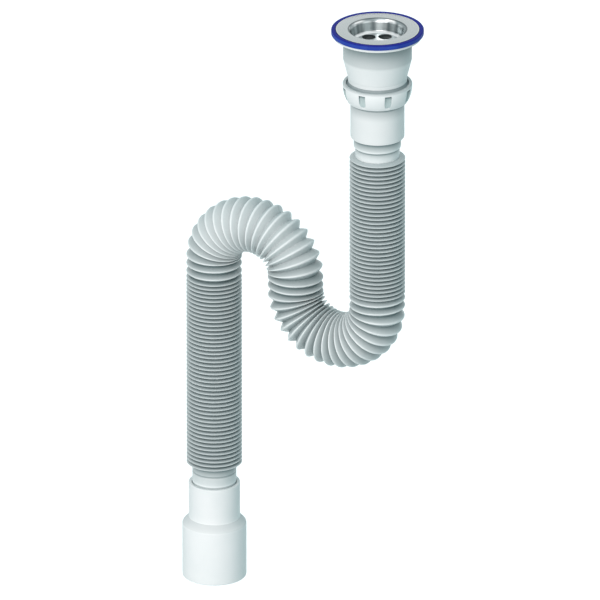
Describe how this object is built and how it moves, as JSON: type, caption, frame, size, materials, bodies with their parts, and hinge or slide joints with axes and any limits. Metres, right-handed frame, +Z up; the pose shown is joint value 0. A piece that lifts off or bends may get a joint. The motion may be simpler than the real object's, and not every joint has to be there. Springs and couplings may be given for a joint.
{
  "type": "flexible sink trap",
  "caption": "Sink waste with a strainer cup, a union nut and a corrugated hose bent into an S trap, ending in a stepped spigot for a drain pipe.",
  "frame": {"origin": "on the axis of the waste, at the top of the gasket's bead, where the part hangs from the sink", "axes": "+Z up along the waste's axis, +Y across the plane of the S, and the outlet hangs on the -X side"},
  "size_m": [0.2083, 0.0716, 0.4908],
  "materials": {
    "strainer_cup": "satin rim, polished inside",
    "cup_screw": "turned steel",
    "sink_gasket": "smooth blue rubber",
    "waste_body": "white moulded plastic",
    "screw_insert": "turned brass",
    "union_nut": "white moulded plastic",
    "union_washer": "dark rubber",
    "tail_adapter": "white moulded plastic",
    "corrugated_hose": "pale grey blown plastic",
    "outlet_spigot": "white moulded plastic"
  },
  "bodies": {
    "waste": {"waste_body": "waste_body", "strainer_cup": "strainer_cup", "cup_screw": "cup_screw", "sink_gasket": "sink_gasket", "screw_insert": "screw_insert"},
    "nut": {"union_nut": "union_nut"},
    "hose": {"tail_adapter": "tail_adapter", "union_washer": "union_washer", "corrugated_hose": "corrugated_hose"},
    "outlet": {"outlet_spigot": "outlet_spigot"}
  },
  "joints": [
    {"name": "nut_turn", "type": "hinge", "parent": "waste", "child": "nut", "pos_m": [0, 0, -0.052], "axis": [0, 0, 1], "range_deg": [0, 180]},
    {"name": "hose_swivel", "type": "hinge", "parent": "waste", "child": "hose", "pos_m": [0, 0, -0.0548], "axis": [0, 0, 1], "continuous": true},
    {"name": "outlet_pull", "type": "slide", "parent": "hose", "child": "outlet", "axis": [0, 0, -1], "range_m": [0, 0.065], "deforming": ["corrugated_hose"]}
  ]
}
